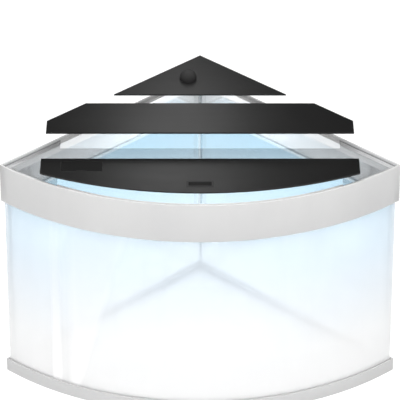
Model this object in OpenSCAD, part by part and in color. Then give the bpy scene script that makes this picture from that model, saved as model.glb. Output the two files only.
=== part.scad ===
// Bow-front corner aquarium: a quarter-disc glass tank in a plastic top and base frame,
// a smoked cross-brace deck on the rim, and three loose cover flaps lifted off their seats.
// Units are millimetres. +Z is up, the bowed front faces -Y and the square rear corner faces +Y.
// The origin is at the middle of the footprint's bounding box, on the surface the tank stands on.

/* [Tank] */
// Length of each straight rear wall, and radius of the bowed front
wall_len = 700; // [660:5:740]
// Height of the tank to the rim of the top frame
tank_h = 600; // [450:10:650]
// Thickness of the wall glass
glass_t = 8; // [6:0.5:9]
// Thickness of the bottom pane
bottom_t = 10; // [8:0.5:12]
// Thickness of the silicone in the glass joints
joint_t = 0.8; // [0.5:0.1:1.5]
// Leg of the silicone fillet in each inner corner
fillet_leg = 6; // [4:0.5:8]

/* [Frames] */
// Wall thickness of the top and base frame
frame_wall = 4.5; // [3.5:0.5:5.5]
// Height of the top frame's skirt
top_band_h = 102; // [80:2:120]
// Height of the base frame's skirt
base_band_h = 34; // [28:1:50]
// Gap between the frame's skirt and the glass
glass_gap = 2; // [1:0.5:3]
// Width of the flange that covers the glass edge, from the frame's outer face
flange_w = 20; // [19:0.5:24]
// Depth of the flange under the rim
flange_drop = 9; // [8:0.5:12]
// Depth of the flap seat under the rim
seat_drop = 5; // [4:0.5:6]

/* [Braces] */
// Half width of the opening between the two corner decks
deck_half_gap = 350; // [330:5:365]
// Front edge of the cross-brace, measured from the line between the side corners
bar_front = -19; // [-22:1:-10]
// Rear edge of the cross-brace
bar_rear = 94; // [80:1:94]
// Front edge of the rear brace
rear_brace_front = 182; // [175:1:186]
// Rear edge of the rear brace
rear_brace_rear = 284; // [275:1:285]

/* [Flaps] */
// Thickness of the flaps
flap_t = 4; // [3.6:0.2:5]
// Half width of the front flap
front_half_w = 392; // [385:1:395]
// Radius of the front flap's bowed edge
front_bow_r = 847; // [800:1:900]
// Depth of the front flap along its middle
front_depth = 168.6; // [160:0.2:175]
// Half width of the middle flap
middle_half_w = 381; // [375:1:385]
// Front edge of the middle flap
middle_front = 41.6; // [38:0.2:60]
// Rear edge of the middle flap
middle_rear = 197.5; // [192:0.5:205]
// Front edge of the rear flap
rear_front = 266; // [255:1:275]
// Height of the front flap above its seat
front_lift = 22; // [16:1:40]
// Height of the middle flap above its seat
middle_lift = 69; // [10:1:80]
// Height of the rear flap above its seat
rear_lift = 58; // [10:1:70]

/* [Hatch, grip and knob] */
// Width of the feeding hatch
hatch_w = 102; // [80:1:106]
// Depth of the feeding hatch
hatch_d = 50; // [40:1:54]
// Middle of the feeding hatch, across the tank
hatch_x = -290.5; // [-292:0.5:-240]
// Length of the finger grip's flange
grip_w = 66; // [50:1:80]
// Width of the finger grip's flange
grip_d = 29.4; // [24:0.2:34]
// Radius of the knob
knob_r = 21.3; // [15:0.1:24]
// Height of the knob's straight side
knob_side_h = 5; // [3:0.5:8]

/* [Hidden] */
$fn = 96;
// Segments of the long plan arcs
plan_fn = 720;

// Plan: the square rear corner, and the line that joins the two side corners
corner_y = wall_len / 2;
chord_y = corner_y - wall_len * cos(45);
big = 2 * wall_len;
eps = 0.01;

// Distances in from the frame's outer face
glass_in = frame_wall + glass_gap;
glass_back = glass_in + glass_t;
inner_r = wall_len - glass_back;
deck_in = frame_wall + 0.4;
lip_w = 3;
lip_in = flange_w - lip_w;
flap_in = frame_wall + 2;
slope_flap_in = frame_wall + 3;

// Levels
shelf_t = 6;
bedding_t = 1.5;
wall_z = shelf_t + bedding_t;
bottom_z = 12;
flange_t = 3;
flange_top = tank_h - flange_drop;
flange_z = flange_top - flange_t;
cap_bedding_t = 2;
wall_top = flange_z - cap_bedding_t;
bond_t = 0.5;
seat_z = tank_h - seat_drop;
lip_z = flange_z - 14;
base_lip_h = 5;
bead_h = 4;

// Front flap and what it carries, in the flap's own height
front_z = seat_z + front_lift;
middle_z = seat_z + middle_lift;
rear_z = seat_z + rear_lift;
front_rear_edge = -6;
front_bow_y = front_rear_edge - front_depth + front_bow_r;
lug_h = 6;
lug_t = 3;
lug_l = 30;
lug_gap = 3;
hinge_r = flap_t / 2;
hinge_gap = 0.3;
hatch_rear = -20;
hinge_y = hatch_rear - hinge_gap - hinge_r;
hatch_t = 2.4;
ledge_w = 4;
ledge_h = 1.3;
pin_r = 0.8;
pin_seat_r = 0.82;
pin_bore_r = 0.85;
pin_seat_l = 8;
nail_groove = [24, 2, 0.7];
grip_y = -134.2;
grip_wall = 1.8;
grip_flange = 3;
grip_flange_t = 1;
grip_depth = 8;
knob_x = -30.4;
knob_y = 351.4;
screw_r = 1.6;
screw_hole_r = 1.9;
screw_head_r = 4;
screw_head_h = 2.4;
screw_bite = 12;

// ---- Plan shapes ----

// Quarter disc, set in from the outer face all round
module quarter(inset) {
    translate([0, corner_y])
        intersection() {
            circle(r = wall_len - inset, $fn = plan_fn);
            rotate(225)
                translate([inset, inset])
                    square(wall_len);
        }
}

// Band between two insets, all round the quarter disc
module band(outer, inner) {
    difference() {
        quarter(outer);
        quarter(inner);
    }
}

// Rectangle across the tank, between two distances from the line of the side corners
module strip(half_w, front, rear) {
    translate([-half_w, chord_y + front])
        square([2 * half_w, rear - front]);
}

// Rectangle in wall coordinates: x runs down the left rear wall, y runs in from it
module along_left_wall(from, to, outer, inner) {
    translate([0, corner_y])
        rotate(225)
            translate([from, outer])
                square([to - from, inner - outer]);
}

// Disc about the rear corner
module corner_disc(r) {
    translate([0, corner_y])
        circle(r = r, $fn = plan_fn);
}

// Raises a plan shape between two levels
module raise(z0, z1) {
    translate([0, 0, z0])
        linear_extrude(height = z1 - z0)
            children();
}

// Hollow silicone fillet for a square corner at the origin
module fillet_plan(leg) {
    tip = 0.5;
    difference() {
        square(leg);
        translate([leg + tip, leg + tip])
            circle(r = leg);
    }
}

// ---- Glass ----

module bottom_pane() {
    color([0.72, 0.86, 0.93, 0.5])
        raise(bottom_z, bottom_z + bottom_t)
            quarter(glass_back + joint_t);
}

// One straight wall, from the rear corner to the bowed front's inner face
module wall_plan(from) {
    intersection() {
        along_left_wall(from, wall_len, glass_in, glass_back);
        corner_disc(inner_r - joint_t);
    }
}

module rear_left_pane() {
    color([0.7, 0.86, 0.95, 0.5])
        raise(wall_z, wall_top)
            wall_plan(glass_in);
}

module rear_right_pane() {
    color([0.7, 0.86, 0.95, 0.5])
        raise(wall_z, wall_top)
            mirror([1, 0])
                wall_plan(glass_back + joint_t);
}

module front_pane() {
    color([0.82, 0.92, 0.97, 0.4])
        raise(wall_z, wall_top)
            difference() {
                quarter(glass_in);
                corner_disc(inner_r);
            }
}

// ---- Silicone joints ----

module rear_corner_seam() {
    color("lightgrey") {
        raise(wall_z, wall_top)
            along_left_wall(glass_in, glass_back, glass_back, glass_back + joint_t);
        raise(bottom_z + bottom_t + fillet_leg, wall_top)
            translate([0, corner_y])
                rotate(225)
                    translate([glass_back, glass_back])
                        fillet_plan(fillet_leg);
    }
}

// Joint between the left wall's end and the bowed front, with its inner fillet
module left_corner_seam() {
    reach = sqrt(inner_r * inner_r - glass_back * glass_back);
    color("lightgrey") {
        raise(wall_z, wall_top)
            intersection() {
                along_left_wall(0, wall_len, glass_in, glass_back);
                difference() {
                    corner_disc(inner_r);
                    corner_disc(inner_r - joint_t);
                }
            }
        raise(bottom_z + bottom_t + fillet_leg, wall_top)
            intersection() {
                corner_disc(inner_r);
                translate([0, corner_y])
                    rotate(225)
                        translate([reach, glass_back])
                            mirror([1, 0])
                                fillet_plan(fillet_leg);
            }
    }
}

module right_corner_seam() {
    mirror([1, 0, 0])
        left_corner_seam();
}

// Bead round the edge of the bottom pane, with a step above it
module floor_seam() {
    color("lightgrey") {
        raise(bottom_z, bottom_z + bottom_t)
            band(glass_back, glass_back + joint_t);
        raise(bottom_z + bottom_t, bottom_z + bottom_t + fillet_leg)
            band(glass_back, glass_back + fillet_leg);
    }
}

// ---- Frames ----

module base_frame() {
    color([0.85, 0.85, 0.85]) {
        raise(0, base_band_h)
            band(0, frame_wall);
        raise(0, shelf_t)
            band(frame_wall - eps, flange_w);
        raise(shelf_t - eps, shelf_t + base_lip_h)
            band(lip_in, flange_w);
    }
}

// Bedding under the wall glass, and the bead that closes the gap at the skirt's top
module base_bedding() {
    color("grey") {
        raise(shelf_t, wall_z)
            band(glass_in, glass_back);
        raise(base_band_h - 2 * bead_h, base_band_h - bead_h)
            band(frame_wall, glass_in);
    }
}

// Plan of the cross-brace and the two corner decks
module deck_plan(margin) {
    strip(big, bar_front - margin, bar_rear + margin);
    for (side = [-1, 1])
        translate([side * (deck_half_gap - margin + big / 2), 0])
            square([big, big], center = true);
}

module rear_brace_plan(margin) {
    strip(big, rear_brace_front - margin, rear_brace_rear + margin);
}

module top_frame() {
    pocket = 0.5;
    color([0.85, 0.85, 0.85]) {
        raise(tank_h - top_band_h, tank_h)
            band(0, frame_wall);
        raise(flange_z, flange_top)
            band(frame_wall - eps, flange_w);
        raise(lip_z, flange_z + eps)
            band(lip_in, flange_w);
        raise(flange_top - eps, seat_z)
            difference() {
                band(lip_in, flange_w);
                deck_plan(pocket);
                rear_brace_plan(pocket);
            }
    }
}

// Bedding on the glass edge, and the bead at the skirt's lower edge
module top_frame_bedding() {
    color("grey") {
        raise(wall_top, flange_z)
            band(glass_in, glass_back);
        raise(tank_h - top_band_h + bead_h, tank_h - top_band_h + 2 * bead_h)
            band(frame_wall, glass_in);
    }
}

// ---- Braces ----

module brace_deck() {
    color([0.62, 0.64, 0.66, 0.6])
        raise(flange_top + bond_t, seat_z)
            intersection() {
                quarter(deck_in);
                deck_plan(0);
            }
}

module rear_brace() {
    color([0.62, 0.64, 0.66, 0.6])
        raise(flange_top + bond_t, seat_z)
            intersection() {
                quarter(deck_in);
                rear_brace_plan(0);
            }
}

// Adhesive layer between both braces and the flange
module brace_bond() {
    color("silver")
        raise(flange_top, flange_top + bond_t)
            intersection() {
                band(deck_in + 1, flange_w - 1);
                union() {
                    deck_plan(-2);
                    rear_brace_plan(-2);
                }
            }
}

// ---- Flaps ----

// Locating lugs under a flap, one each side of the middle
module lug_pair(x, y, size) {
    for (side = [-1, 1])
        translate([side * x - size[0] / 2, chord_y + y - size[1] / 2, -lug_h])
            cube([size[0], size[1], lug_h + eps]);
}

// Pocket for the hatch: a seat all round, open below and full depth along the hinge
module hatch_pocket() {
    pocket_w = hatch_w + 2 * hinge_gap;
    front = hatch_rear - hinge_gap - hatch_d;
    translate([hatch_x, 0, 0]) {
        raise(ledge_h, flap_t + 1)
            strip(pocket_w / 2, front, hatch_rear);
        raise(-1, flap_t)
            strip(hatch_w / 2 - ledge_w, front + ledge_w, hatch_rear);
        raise(-1, flap_t)
            strip(pocket_w / 2, hinge_y - hinge_r - hinge_gap, hatch_rear);
    }
}

// Rod along the hatch hinge, between two places across the tank
module hinge_rod(r, from, to) {
    translate([from, chord_y + hinge_y, hinge_r])
        rotate([0, 90, 0])
            cylinder(r = r, h = to - from);
}

module front_flap() {
    pin_end = hatch_x + hatch_w / 2 + hinge_gap + pin_seat_l;
    color([0.24, 0.24, 0.24])
        translate([0, 0, front_z])
            difference() {
                union() {
                    raise(0, flap_t)
                        intersection() {
                            quarter(flap_in);
                            strip(front_half_w, front_rear_edge - front_depth - 1, front_rear_edge);
                            translate([0, chord_y + front_bow_y])
                                circle(r = front_bow_r, $fn = plan_fn);
                        }
                    lug_pair(deck_half_gap - lug_gap - lug_t / 2, -45, [lug_t, lug_l]);
                }
                hatch_pocket();
                hinge_rod(pin_seat_r, -front_half_w - 1, pin_end);
                raise(-1, flap_t + 1)
                    translate([0, chord_y + grip_y])
                        square([grip_w - 2 * grip_flange + 0.6, grip_d - 2 * grip_flange + 0.6],
                            center = true);
            }
}

module feeding_hatch() {
    front = hatch_rear - hinge_gap - hatch_d;
    color([0.14, 0.14, 0.14])
        translate([0, 0, front_z])
            difference() {
                union() {
                    translate([hatch_x, 0, 0])
                        raise(flap_t - hatch_t, flap_t)
                            strip(hatch_w / 2, front + hinge_gap, hinge_y);
                    hinge_rod(hinge_r, hatch_x - hatch_w / 2, hatch_x + hatch_w / 2);
                }
                hinge_rod(pin_bore_r, hatch_x - hatch_w / 2 - 1, hatch_x + hatch_w / 2 + 1);
                translate([hatch_x - nail_groove[0] / 2, chord_y + front + 3, flap_t - nail_groove[2]])
                    cube([nail_groove[0], nail_groove[1], 2]);
            }
}

module hatch_hinge_pin() {
    reach = hatch_w / 2 + hinge_gap + pin_seat_l;
    color("silver")
        translate([0, 0, front_z])
            hinge_rod(pin_r, hatch_x - reach, hatch_x + reach);
}

// Recessed cup with a flange that lies on the flap
module finger_grip() {
    cup_w = grip_w - 2 * grip_flange;
    cup_d = grip_d - 2 * grip_flange;
    color([0.2, 0.2, 0.2])
        translate([0, chord_y + grip_y, front_z])
            difference() {
                union() {
                    raise(-grip_depth, flap_t + grip_flange_t)
                        square([cup_w, cup_d], center = true);
                    raise(flap_t, flap_t + grip_flange_t)
                        square([grip_w, grip_d], center = true);
                }
                raise(grip_wall - grip_depth, flap_t + grip_flange_t + 1)
                    square([cup_w - 2 * grip_wall, cup_d - 2 * grip_wall], center = true);
            }
}

module middle_flap() {
    color([0.24, 0.24, 0.24])
        translate([0, 0, middle_z]) {
            raise(0, flap_t)
                intersection() {
                    quarter(slope_flap_in);
                    strip(middle_half_w, middle_front, middle_rear);
                }
            lug_pair(deck_half_gap - lug_gap - lug_t / 2, bar_rear + 12, [lug_t, 18]);
            lug_pair(120, rear_brace_front - lug_gap - lug_t / 2, [lug_l, lug_t]);
        }
}

module rear_flap() {
    color([0.24, 0.24, 0.24])
        translate([0, 0, rear_z])
            difference() {
                union() {
                    raise(0, flap_t)
                        intersection() {
                            quarter(slope_flap_in);
                            strip(big, rear_front, big);
                        }
                    lug_pair(100, rear_brace_rear + lug_gap + lug_t / 2, [lug_l, lug_t]);
                }
                translate([knob_x, chord_y + knob_y, -1])
                    cylinder(r = screw_hole_r, h = flap_t + 2);
            }
}

// Domed knob with a blind pilot hole underneath
module rear_knob() {
    color([0.22, 0.21, 0.21])
        translate([knob_x, chord_y + knob_y, rear_z + flap_t])
            difference() {
                union() {
                    cylinder(r = knob_r, h = knob_side_h);
                    translate([0, 0, knob_side_h])
                        intersection() {
                            sphere(r = knob_r);
                            cylinder(r = big, h = big);
                        }
                }
                translate([0, 0, -1])
                    cylinder(r = screw_r, h = screw_bite + 1);
            }
}

// Screw that holds the knob from under the flap
module knob_screw() {
    slot = [0.9, 4.6, 1.2];
    color("silver")
        translate([knob_x, chord_y + knob_y, rear_z])
            difference() {
                union() {
                    translate([0, 0, -screw_head_h])
                        cylinder(r = screw_head_r, h = screw_head_h);
                    translate([0, 0, -eps])
                        cylinder(r = screw_r, h = flap_t + screw_bite);
                }
                for (turn = [0, 90])
                    rotate(turn)
                        translate([-slot[0] / 2, -slot[1] / 2, -screw_head_h - 1])
                            cube([slot[0], slot[1], slot[2] + 1]);
            }
}

bottom_pane();
rear_left_pane();
rear_right_pane();
front_pane();
rear_corner_seam();
left_corner_seam();
right_corner_seam();
floor_seam();
base_frame();
base_bedding();
top_frame();
top_frame_bedding();
brace_deck();
rear_brace();
brace_bond();
front_flap();
feeding_hatch();
hatch_hinge_pin();
finger_grip();
middle_flap();
rear_flap();
rear_knob();
knob_screw();
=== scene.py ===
# %% [markdown]
# # A bow-front corner aquarium with lifted cover flaps
# The tank is a quarter disc of glass held between a deep plastic top frame and a low base frame.
# Three loose, dark cover flaps hang above the rim, and a smoked brace crosses the opening. The
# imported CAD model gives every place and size, so each finish and detail here is built round it.

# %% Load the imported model
import math

import bmesh
import bpy
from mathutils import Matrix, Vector


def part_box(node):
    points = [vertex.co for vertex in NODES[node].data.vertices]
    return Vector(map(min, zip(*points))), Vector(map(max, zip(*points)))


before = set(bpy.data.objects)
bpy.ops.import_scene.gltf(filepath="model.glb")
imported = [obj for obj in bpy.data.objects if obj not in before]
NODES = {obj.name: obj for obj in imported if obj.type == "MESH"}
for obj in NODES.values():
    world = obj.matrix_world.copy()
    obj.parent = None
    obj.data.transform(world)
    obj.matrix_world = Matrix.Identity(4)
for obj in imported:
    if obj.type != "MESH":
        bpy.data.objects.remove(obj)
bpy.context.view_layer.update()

# %% [markdown]
# ## Places that everything else uses
# The rim, the foot of its deep band and the line between the side corners are read from the model.
# The camera, the lights and the glass tint are placed from them, so they follow the real sizes.

# %% Measure the tank
rim_low, rim_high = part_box("top_frame")
base_low, base_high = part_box("base_frame")
pane_low, pane_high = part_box("front_pane")
WALL = rim_high.y - rim_low.y
RIM_Z = rim_high.z
BAND_FOOT = rim_low.z
CHORD_Y = rim_high.y - WALL * math.cos(math.radians(45))
print(f"wall {WALL:.3f} m, rim at {RIM_Z:.3f} m, side corners at y {CHORD_Y:.3f} m")
print(f"base frame {base_high.z - base_low.z:.3f} m high, "
      f"bowed glass from {pane_low.z:.3f} to {pane_high.z:.3f} m")

# %% [markdown]
# ## Shader maths as plain expressions
# A material is a graph of nodes. It could be wired by hand, node by node, but wrapping a socket in
# a small class lets the graph be written as arithmetic: `1 - mask * 0.2` adds its Math nodes by
# itself, and reads like the idea behind it.

# %% Value
class Value:
    """One output socket of a material's graph, with arithmetic that adds Math nodes."""

    def __init__(self, graph, socket):
        self.graph = graph
        self.socket = socket

    def maths(self, operation, first, second):
        return self.graph.add("Math", {"operation": operation}, {0: first, 1: second})

    def __add__(self, other):
        return self.maths("ADD", self, other)

    __radd__ = __add__

    def __sub__(self, other):
        return self.maths("SUBTRACT", self, other)

    def __rsub__(self, other):
        return self.maths("SUBTRACT", other, self)

    def __mul__(self, other):
        return self.maths("MULTIPLY", self, other)

    __rmul__ = __mul__

    def __truediv__(self, other):
        return self.maths("DIVIDE", self, other)

    def __rtruediv__(self, other):
        return self.maths("DIVIDE", other, self)

    def __pow__(self, other):
        return self.maths("POWER", self, other)

    def __rpow__(self, other):
        return self.maths("POWER", other, self)

    def clipped(self):
        return self.graph.add("Clamp", {}, {"Value": self})


print("arithmetic on sockets ready")

# %% [markdown]
# ## One method that adds every node
# Each node needs the same steps: make it, set its settings, then fill or link its sockets. One
# method does that for all kinds, and returns the chosen output as a Value, so that the next line
# can use it.

# %% Graph
class Graph:
    """The nodes of one material, or of the world."""

    def __init__(self, name, world=None):
        self.owner = world or bpy.data.materials.new(name)
        self.owner.use_nodes = True
        self.tree = self.owner.node_tree
        self.tree.nodes.clear()

    def add(self, kind, settings, inputs, output=0):
        """Adds a node: its settings first, then the values or links of its sockets."""
        node = self.tree.nodes.new("ShaderNode" + kind)
        for key, value in settings.items():
            if key == "stops":
                self.set_stops(node.color_ramp, value)
            else:
                setattr(node, key, value)
        for key, value in inputs.items():
            if isinstance(value, Value):
                self.tree.links.new(value.socket, node.inputs[key])
            else:
                node.inputs[key].default_value = value
        return Value(self, node.outputs[output]) if node.outputs else None

    @staticmethod
    def set_stops(ramp, stops):
        while len(ramp.elements) < len(stops):
            ramp.elements.new(0.5)
        for element, (position, level) in zip(ramp.elements, stops):
            element.position = position
            element.color = (level, level, level, 1)

    def blend(self, factor, first, second):
        """Mixes two colours, which the Mix node takes at sockets 6 and 7 and gives at 2."""
        return self.add("Mix", {"data_type": "RGBA"}, {0: factor, 6: first, 7: second}, 2)

    def shader_mix(self, factor, first, second):
        return self.add("MixShader", {}, {0: factor, 1: first, 2: second})

    def finish(self, shader, output="OutputMaterial"):
        self.add(output, {}, {"Surface": shader})
        return self.owner


print("graph helper ready")

# %% [markdown]
# ## Patterns that several finishes share
# Moulded plastic and glass are never perfectly even. Slow clouds cover handling and moulding flow,
# and fast ones the grain of the moulding tool. They are taken from the object's own coordinates in
# metres, so their scale is the real one, and they need no unwrapping.

# %% Clouds and ramps
OBJECT_SOCKET = 3  # of the Texture Coordinate node


def object_point(graph):
    return graph.add("TexCoord", {}, {}, OBJECT_SOCKET)


def split(graph, vector, axis):
    return graph.add("SeparateXYZ", {}, {0: vector}, "XYZ".index(axis))


def cloud(graph, scale, detail=3.0, roughness=0.5, stretch=(1, 1, 1)):
    """Variation between 0 and 1. scale is in features to the metre."""
    product = {"operation": "MULTIPLY"}
    point = graph.add("VectorMath", product, {0: object_point(graph), 1: stretch})
    inputs = {"Vector": point, "Scale": scale, "Detail": detail, "Roughness": roughness}
    return graph.add("TexNoise", {}, inputs)


def ramp(graph, value, stops):
    return graph.add("ValToRGB", {"stops": stops}, {0: value})


def ramp_up(value, start, width):
    """0 below start, 1 beyond start + width."""
    return ((value - start) / width).clipped()


def grey(level):
    return (level, level, level, 1)


print("patterns ready")

# %% [markdown]
# ## Worn edges
# Handling and cleaning polish the edges of a moulding first. Painting them by hand would tie the
# wear to one mesh. The Bevel node gives the surface direction as if the edges were round, so where
# that differs from the plain direction there is an edge.

# %% Edge mask
NORMAL_SOCKET = 1  # of the Geometry node
DOT_SOCKET = 1     # of the Vector Math node
EDGE_GAIN = 6      # a turn of about 34 degrees counts as a full edge


def edge_mask(graph, width):
    """1 on edges and corners within width, and 0 on open faces."""
    rounded = graph.add("Bevel", {"samples": 4}, {"Radius": width})
    plain = graph.add("NewGeometry", {}, {}, NORMAL_SOCKET)
    product = {"operation": "DOT_PRODUCT"}
    facing = graph.add("VectorMath", product, {0: rounded, 1: plain}, DOT_SOCKET)
    return ((1 - facing) * EDGE_GAIN).clipped()


print("edge mask ready")

# %% [markdown]
# ## Light grey frame plastic
# The top and base frames are injection moulded in a satin light grey plastic. Up close it has a
# fine spark-eroded grain, faint flow clouds, a little dust, and edges polished lighter by
# cleaning. One Principled shader with a noise-driven colour, roughness and bump is enough.

# %% Frame plastic
def frame_plastic():
    graph = Graph("frame_plastic_satin")
    flow = cloud(graph, 5, detail=4, stretch=(1, 1, 0.4))
    dust = cloud(graph, 160, detail=2)
    edges = edge_mask(graph, 0.0012)
    dark, light = (0.555, 0.555, 0.557, 1), (0.60, 0.60, 0.598, 1)
    polished, dusty = grey(0.74), grey(0.5)
    tone = graph.blend(ramp(graph, flow, [(0.35, 0), (0.7, 1)]), dark, light)
    tone = graph.blend(edges * 0.5, tone, polished)
    tone = graph.blend(ramp(graph, dust, [(0.62, 0), (0.8, 0.12)]), tone, dusty)
    grain = cloud(graph, 1400, detail=2, roughness=0.6)
    bump = graph.add("Bump", {}, {"Strength": 0.12, "Distance": 0.00025, "Height": grain})
    shader = graph.add("BsdfPrincipled", {}, {
        "Base Color": tone,
        "Roughness": 0.40 + flow * 0.10 - edges * 0.08,
        "Normal": bump,
        "Specular IOR Level": 0.4,
    })
    return graph.finish(shader)


frame_finish = frame_plastic()
print("made", frame_finish.name)

# %% [markdown]
# ## Dark plastics
# The flaps are satin dark grey sheets. Their grain is fine enough to spread a reflection into a
# soft glow across the middle, while the ends stay near black. A middling roughness gives that, and
# the glow itself comes from the reflection cards that are set up with the lights. The hatch, the
# grip and the knob are mouldings with a duller face, so they share the recipe with less gloss.

# %% Flap, hatch, grip and knob plastic
def dark_plastic(name, dark, light, rough, specular):
    graph = Graph(name)
    handling = cloud(graph, 7, detail=4)
    streaks = cloud(graph, 40, detail=2, stretch=(0.15, 1, 1))
    edges = edge_mask(graph, 0.0009)
    polished = grey(0.09)
    tone = graph.blend(ramp(graph, handling, [(0.3, 0), (0.75, 1)]), dark, light)
    tone = graph.blend(edges * 0.45, tone, polished)
    grain = cloud(graph, 1800, detail=2, roughness=0.6)
    bump = graph.add("Bump", {}, {"Strength": 0.16, "Distance": 0.0002, "Height": grain})
    shader = graph.add("BsdfPrincipled", {}, {
        "Base Color": tone,
        "Roughness": rough + handling * 0.10 + streaks * 0.05 - edges * 0.06,
        "Normal": bump,
        "Specular IOR Level": specular,
    })
    return graph.finish(shader)


flap_finish = dark_plastic(
    "flap_plastic_satin", grey(0.006), (0.008, 0.0079, 0.0078, 1), rough=0.38, specular=0.45)
trim_finish = dark_plastic(
    "hatch_plastic_matte", grey(0.008), (0.011, 0.0108, 0.0105, 1), rough=0.62, specular=0.12)
grip_finish = dark_plastic(
    "grip_plastic_matte", grey(0.035), (0.042, 0.0415, 0.0415, 1), rough=0.66, specular=0.06)
knob_finish = dark_plastic(
    "knob_plastic_matte", grey(0.028), (0.034, 0.0335, 0.0335, 1), rough=0.70, specular=0.08)
print("made", flap_finish.name, trim_finish.name, grip_finish.name, knob_finish.name)

# %% [markdown]
# ## Painted reflection streaks
# Two faint upright streaks on the bow are painted reflections. They stand in for lights mirrored
# in the glass, and stay put when the view moves. Here they lie on the left of the bow: a narrow
# one, and beside it a wide one that tapers towards the base. They could be an image mask, but two
# soft-edged strips, each the product of a rise and a fall across the pane, need no image and no
# unwrapping.

# %% Painted reflection streaks on the bow
# Places are shares of a wall's length, measured across the tank from its middle.
NARROW_LEFT, NARROW_RIGHT, NARROW_SOFTNESS = -0.535, -0.505, 0.012
WIDE_LEFT, WIDE_LEFT_SOFTNESS = -0.475, 0.03
WIDE_RIGHT_AT_BASE, WIDE_RIGHT_LEAN, WIDE_RIGHT_SOFTNESS = -0.448, 0.267, 0.02


# Painted reflection: the mask of two pale streaks that stand in for lights mirrored in the glass.
def painted_reflection_streaks(graph, height):
    """1 inside the two painted reflection streaks and 0 beside them."""
    across = split(graph, object_point(graph), "X") / WALL
    narrow = (ramp_up(across, NARROW_LEFT, NARROW_SOFTNESS)
              * (1 - ramp_up(across, NARROW_RIGHT, NARROW_SOFTNESS)))
    slanted_edge = WIDE_RIGHT_AT_BASE + height * (WIDE_RIGHT_LEAN / WALL)
    beyond = ramp_up(across - slanted_edge, -WIDE_RIGHT_SOFTNESS / 2, WIDE_RIGHT_SOFTNESS)
    wide = ramp_up(across, WIDE_LEFT, WIDE_LEFT_SOFTNESS) * (1 - beyond)
    return narrow + wide


print("marks ready")

# %% [markdown]
# ## Mist on the glass
# A pale mist veils the lower glass, so that the tank fades to white towards its foot. On the front
# pane it thickens all the way down, and on the rear panes only near the foot: `mist_bend`, the
# power of the curve, sets which. Its colour turns from pale blue to white. A clean tank has no
# such mist, and with `mist_low` and `mist_high` at 0 nearly all of it goes. Mist in the air would
# be a volume, which is slow and noisy, so it is a share of matte shader on the panes instead.

# %% Mist
BLUE_MIST = (0.865, 0.91, 0.96, 1)
WHITE_MIST = grey(0.97)
WHITENS_FROM, WHITENS_OVER = 0.25, 0.45  # shares of the way down
PATCHES = 0.02                           # unevenness of the mist
STREAKS_AT_TOP = 0.4                       # strength of the painted reflection streaks there, against 1.4 at the foot


def mist_shader(graph, fall):
    blue = graph.add("BsdfDiffuse", {}, {"Color": BLUE_MIST, "Roughness": 0.5})
    white = graph.add("BsdfDiffuse", {}, {"Color": WHITE_MIST, "Roughness": 0.5})
    return graph.shader_mix(ramp_up(fall, WHITENS_FROM, WHITENS_OVER), blue, white)


def mist_level(graph, height, fall, mist_low, mist_high, mist_bend, painted_streaks):
    """The share of mist: mist_high under the band, and mist_low at the base."""
    patches = cloud(graph, 2.2, detail=3)
    level = mist_high + fall ** mist_bend * (mist_low - mist_high) + patches * PATCHES
    # Painted reflection streaks: pale upright strips of extra mist that stand in for lights
    # mirrored in the glass.
    if painted_streaks:
        level = level + painted_reflection_streaks(graph, height) * (STREAKS_AT_TOP + fall) * painted_streaks
    return level


print("mist ready")

# %% [markdown]
# ## Clear panes
# Float glass of this thickness passes nearly all light, and reflects more towards grazing angles.
# Full refraction would need caustics to light the floor behind, so each surface is a tinted
# see-through shader under a Fresnel mirror with faint smears. The tint is strongest just under the
# top frame and fades downwards. Behind the band there is neither tint nor mist, so the frame keeps
# its own grey.

# %% Glass
PLAIN_GLASS = (0.985, 0.993, 0.998, 1)
TINT_FADE = 1.3       # power of the tint's curve
BAND_EDGE = 0.0025    # metres over which tint and mist stop at the band
MIRROR_SHARE = 0.3    # of the full Fresnel reflection: less than real, for a clear view inside


def glass(name, tint, mist_low, mist_high, mist_bend=0.75, painted_streaks=0.0):
    """A pane with a tint that fades towards the base, and a mist that thickens towards it."""
    graph = Graph(name)
    height = split(graph, object_point(graph), "Z")
    fall = ((BAND_FOOT - height) / BAND_FOOT).clipped()
    below_band = 1 - ramp_up(height, BAND_FOOT, BAND_EDGE)
    plain = graph.add("BsdfTransparent", {}, {"Color": PLAIN_GLASS})
    tinted = graph.add("BsdfTransparent", {}, {"Color": tint})
    body = graph.shader_mix((1 - fall ** TINT_FADE) * below_band, plain, tinted)
    level = mist_level(graph, height, fall, mist_low, mist_high, mist_bend, painted_streaks)
    body = graph.shader_mix(level * below_band, body, mist_shader(graph, fall))
    smears = cloud(graph, 9, detail=4, stretch=(1, 1, 0.3))
    mirror = graph.add("BsdfGlossy", {}, {"Color": grey(1.0), "Roughness": 0.015 + smears * 0.02})
    fresnel = graph.add("Fresnel", {}, {"IOR": 1.5})
    return graph.finish(graph.shader_mix(fresnel * MIRROR_SHARE, body, mirror))


rear_glass = glass(
    "glass_rear", (0.73, 0.86, 0.932, 1), mist_low=0.22, mist_high=-0.01, mist_bend=4)
# The front pane carries the painted reflection streaks, which stand in for lights mirrored in it.
front_glass = glass(
    "glass_front", (0.93, 0.97, 0.99, 1), mist_low=0.86, mist_high=0.26, painted_streaks=0.16)
bottom_glass = glass("glass_bottom", PLAIN_GLASS, mist_low=0.27, mist_high=0.27)
print("made", rear_glass.name, front_glass.name, bottom_glass.name)

# %% [markdown]
# ## Smoked braces
# The braces are a translucent smoked plastic: what lies behind them shows through about a third
# darker, and their satin face catches the light. Principled transmission would bend the rays and
# grow noisy, so a see-through shader takes most of the share, and a satin face the rest.

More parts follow.
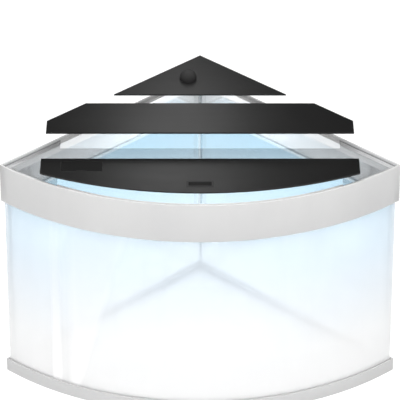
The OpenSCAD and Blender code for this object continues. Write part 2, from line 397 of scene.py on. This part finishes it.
# %% Smoked plastic
def smoked_plastic():
    graph = Graph("smoked_plastic")
    flow = cloud(graph, 6, detail=4)
    clear = graph.add("BsdfTransparent", {}, {"Color": (0.862, 0.865, 0.868, 1)})
    grain = cloud(graph, 900, detail=2)
    bump = graph.add("Bump", {}, {"Strength": 0.10, "Distance": 0.0002, "Height": grain})
    face = graph.add("BsdfPrincipled", {}, {
        "Base Color": graph.blend(flow, grey(0.40), grey(0.48)),
        "Roughness": 0.32 + flow * 0.12,
        "Normal": bump,
        "Specular IOR Level": 0.3,
    })
    return graph.finish(graph.shader_mix(0.08 + flow * 0.04, clear, face))


smoked_finish = smoked_plastic()
print("made", smoked_finish.name)

# %% [markdown]
# ## Silicone and adhesive
# The silicone in the joints is nearly clear, with the ripple that a finger leaves when it smooths
# the bead. The braces are bonded to the frame's flange by a pale, opaque adhesive, which shows
# through them, so it sets how light they look over the flange.

# %% Silicone and adhesive
def silicone():
    graph = Graph("silicone_clear")
    ripple = cloud(graph, 60, detail=3, stretch=(1, 1, 0.2))
    bump = graph.add("Bump", {}, {"Strength": 0.3, "Distance": 0.0006, "Height": ripple})
    face = graph.add("BsdfPrincipled", {}, {
        "Base Color": graph.blend(ripple, (0.30, 0.34, 0.36, 1), (0.40, 0.43, 0.45, 1)),
        "Roughness": 0.35 + ripple * 0.15,
        "Normal": bump,
        "Specular IOR Level": 0.3,
    })
    clear = graph.add("BsdfTransparent", {}, {"Color": (0.975, 0.985, 0.99, 1)})
    return graph.finish(graph.shader_mix(0.10 + ripple * 0.10, clear, face))


def adhesive():
    graph = Graph("adhesive_pale")
    spread = cloud(graph, 90, detail=3)
    bump = graph.add("Bump", {}, {"Strength": 0.3, "Distance": 0.0003, "Height": spread})
    shader = graph.add("BsdfPrincipled", {}, {
        "Base Color": graph.blend(spread, (0.74, 0.745, 0.75, 1), grey(0.82)),
        "Roughness": 0.45 + spread * 0.2,
        "Normal": bump,
    })
    return graph.finish(shader)


silicone_finish = silicone()
adhesive_finish = adhesive()
print("made", silicone_finish.name, adhesive_finish.name)

# %% [markdown]
# ## Stainless steel
# The hinge pin is cut from drawn stainless rod, which has fine lines along it, and the knob's
# screw has the same finish. Noise that is stretched along X, the pin's direction, gives those
# lines in both the colour and the roughness.

# %% Steel
def steel():
    graph = Graph("stainless_steel")
    brushed = cloud(graph, 400, detail=2, stretch=(0.05, 1, 1))
    shader = graph.add("BsdfPrincipled", {}, {
        "Base Color": graph.blend(brushed, grey(0.52), grey(0.66)),
        "Metallic": 1.0,
        "Roughness": 0.22 + brushed * 0.18,
    })
    return graph.finish(shader)


steel_finish = steel()
print("made", steel_finish.name)

# %% [markdown]
# ## Dress the CAD parts
# The CAD shapes are already right, so each keeps its mesh and gets its finish. A moulding's edges
# are rounded, and so are the ground edges of glass. A Weld modifier joins the faces that the file
# format split, and a Bevel modifier then rounds only the true edges.

# %% Soft edges
JOIN_WITHIN = 0.00001
SHARP_ANGLE = math.radians(40)
EDGE_SEGMENTS = 2


def dress(node, finish, edge):
    """Gives a CAD part its finish, and rounds its edges to edge metres unless that is 0."""
    piece = NODES[node]
    for place in piece.material_slots:
        place.material = finish
    if edge:
        weld = piece.modifiers.new("join_faces", "WELD")
        weld.merge_threshold = JOIN_WITHIN
        bevel = piece.modifiers.new("round_edges", "BEVEL")
        bevel.width = edge
        bevel.segments = EDGE_SEGMENTS
        bevel.limit_method = "ANGLE"
        bevel.angle_limit = SHARP_ANGLE
        bevel.harden_normals = True


print("dressing helper ready")

# %% Finish of each part
for name, finish, edge in (
    ("top_frame", frame_finish, 0.0008),
    ("base_frame", frame_finish, 0.0008),
    ("front_flap", flap_finish, 0.0005),
    ("middle_flap", flap_finish, 0.0006),
    ("rear_flap", flap_finish, 0.0006),
    ("feeding_hatch", trim_finish, 0.0003),
    ("finger_grip", grip_finish, 0.0004),
    ("rear_knob", knob_finish, 0.0),
    ("brace_deck", smoked_finish, 0.0004),
    ("rear_brace", smoked_finish, 0.0004),
    ("brace_bond", adhesive_finish, 0.0),
    ("rear_corner_seam", silicone_finish, 0.0),
    ("left_corner_seam", silicone_finish, 0.0),
    ("right_corner_seam", silicone_finish, 0.0),
    ("floor_seam", silicone_finish, 0.001),
    ("base_bedding", silicone_finish, 0.0),
    ("top_frame_bedding", silicone_finish, 0.0),
    ("hatch_hinge_pin", steel_finish, 0.0),
    ("knob_screw", steel_finish, 0.0002),
    ("rear_left_pane", rear_glass, 0.0006),
    ("rear_right_pane", rear_glass, 0.0006),
    ("front_pane", front_glass, 0.0006),
    ("bottom_pane", bottom_glass, 0.0006),
):
    dress(name, finish, edge)
print("dressed", len(NODES), "CAD parts")

# %% [markdown]
# ## Floor
# A plain pale floor, large enough to fill the view behind the tank. A curved backdrop would do as
# well, but seen from above one flat sheet is enough. It glows a little, so that it stays an even
# white right up to the tank, as a studio floor does when it is lit from all round.

# %% Floor
FLOOR_HALF_WIDTH = 20


def floor():
    mesh = bpy.data.meshes.new("floor")
    work = bmesh.new()
    bmesh.ops.create_grid(work, x_segments=1, y_segments=1, size=FLOOR_HALF_WIDTH)
    work.to_mesh(mesh)
    work.free()
    ground = bpy.data.objects.new("floor", mesh)
    bpy.context.scene.collection.objects.link(ground)
    graph = Graph("floor_white")
    shader = graph.add("BsdfPrincipled", {}, {
        "Base Color": grey(0.62),
        "Roughness": 0.9,
        "Specular IOR Level": 0.1,
        "Emission Color": grey(1.0),
        "Emission Strength": 0.52,
    })
    mesh.materials.append(graph.finish(shader))


floor()
print("floor laid")

# %% [markdown]
# ## Surround
# Plain soft studio light starts with an even white surround. Satin flaps mirror whatever is behind
# the tank, so an evenly white wall there would turn them grey from end to end. The surround is
# therefore darker behind the tank, up to the height that the flaps mirror.

# %% Surround
ROOM_LEVEL = 0.29
REAR_LEVEL = 0.02
RAY_SOCKET = 0  # of the Texture Coordinate node: in a world, the direction looked in


def surround(level, rear_level):
    world = bpy.data.worlds.new("surround")
    bpy.context.scene.world = world
    graph = Graph("surround", world)
    ray = graph.add("TexCoord", {}, {}, RAY_SOCKET)
    to_rear = (split(graph, ray, "Y") * 3 - 1).clipped()       # full from Y 2/3 on
    low_enough = (9 - split(graph, ray, "Z") * 10).clipped()   # gone from Z 0.9 up
    strength = level - to_rear * low_enough * (level - rear_level)
    light = graph.add("Background", {}, {"Color": grey(1.0), "Strength": strength})
    graph.finish(light, "OutputWorld")


surround(ROOM_LEVEL, REAR_LEVEL)
print("surround", ROOM_LEVEL, "and", REAR_LEVEL, "behind the tank")

# %% [markdown]
# ## Studio lamps
# One large panel overhead gives the soft even light. The key is a small panel high in front, which
# brightens the band and the bow. Area lamps are used because their size sets how soft the shadows
# are.

# %% Overhead and key
def lamp(name, place, target, size, power, mirrored=False):
    """A soft panel of size metres and power watts. It shows in reflections only where mirrored."""
    data = bpy.data.lights.new(name, "AREA")
    data.shape = "RECTANGLE"
    data.size, data.size_y = size
    data.energy = power
    light = bpy.data.objects.new(name, data)
    light.location = place
    light.rotation_euler = (Vector(target) - Vector(place)).to_track_quat("-Z", "Y").to_euler()
    light.visible_camera = False
    light.visible_glossy = mirrored
    bpy.context.scene.collection.objects.link(light)
    return light


lamp("overhead", (0, -0.4, 3.2), (0, 0, RIM_Z / 2), (4, 4), 148)
lamp("key", (0, CHORD_Y - 5.2, RIM_Z + 2.86), (0, CHORD_Y, RIM_Z - 0.1), (0.6, 0.4), 98)
print("lit from above and in front")

# %% [markdown]
# ## Fill lamps
# The flaps and the deep top frame shade the inside of the tank. In a studio, white cards would
# bounce light in. Bounced light is slow to render without noise, so a few weak lamps that the
# camera can't see stand in for the cards: inside the tank, at its base, its rear corner and its
# sides, and one over the inner face of the rim along each rear wall.

# %% Fill lamps
lamp("tank_fill", (0, -0.12, 0.30), (0, 0.2, 0.32), (0.7, 0.5), 1.0)
lamp("base_fill", (0, -0.05, 0.22), (0, 0.25, 0.02), (0.5, 0.2), 1.1)
lamp("corner_fill", (0, -0.02, 0.42), (0, 0.35, 0.56), (0.16, 0.1), 1.3)
SIDES = ((-1, "left"), (1, "right"))
for side, hand in SIDES:
    place, aim = (0.27 * side, -0.17, 0.42), (0.40 * side, -0.05, 0.53)
    lamp(f"side_fill_{hand}", place, aim, (0.15, 0.15), 0.33)
for side, hand in SIDES:
    wall_middle = Vector((0.29 * side, 0.06, RIM_Z - 0.002))
    inward = Vector((-0.085 * side, -0.085, 0.027))
    lamp(f"rim_fill_{hand}", wall_middle + inward, wall_middle, (0.36, 0.02), 0.07)
print("filled the shaded places")

# %% [markdown]
# ## Reflection cards
# Each flap shows a soft glow across its middle, which is a reflection of something bright behind
# the tank. A painted glow would stay put when the view or the flap moves. A card that lights
# nothing, and is seen only in reflections, gives a true one, and each flap has its own, at the
# place it mirrors.

# %% Reflection cards
def reflection_card(name, place, target, size, power):
    """A panel that is seen only as a reflection, and lights nothing."""
    card = lamp(name, place, target, size, power, mirrored=True)
    card.visible_diffuse = False
    card.visible_transmission = False


reflection_card(
    "rear_flap_glow", (-0.045, 0.75, 0.94), (-0.045, 0.25, 0.657), (0.06, 0.08), 0.04)
reflection_card(
    "middle_flap_glow", (-0.052, 0.95, 1.24), (-0.07, 0, RIM_Z), (0.29, 0.24), 0.43)
reflection_card(
    "front_flap_glow", (-0.07, 0.5, 1.10), (-0.08, -0.2, RIM_Z), (0.28, 0.14), 0.52)
print("hung a card for each flap")

# %% [markdown]
# ## Camera
# The view looks straight at the bowed front from about 30 degrees above, so that the top is seen
# as a shallow fan. A long lens from far off keeps upright edges nearly upright. The plain Standard
# view transform leaves whites white.

# %% Camera
DISTANCE = 11 * WALL
PITCH = math.radians(29.63)
AIM_BELOW_RIM = 0.1429 * WALL
SENSOR_MM = 36
LENS_MM = 278.74

target = Vector((0, CHORD_Y, RIM_Z - AIM_BELOW_RIM))
direction = Vector((0, math.cos(PITCH), -math.sin(PITCH)))
data = bpy.data.cameras.new("camera")
data.sensor_width = SENSOR_MM
data.lens = LENS_MM
camera = bpy.data.objects.new("camera", data)
camera.location = target - direction * DISTANCE
camera.rotation_euler = (math.pi / 2 - PITCH, 0, 0)
bpy.context.scene.collection.objects.link(camera)
bpy.context.scene.camera = camera
bpy.context.scene.view_settings.view_transform = "Standard"
print("camera at", [round(value, 3) for value in camera.location])
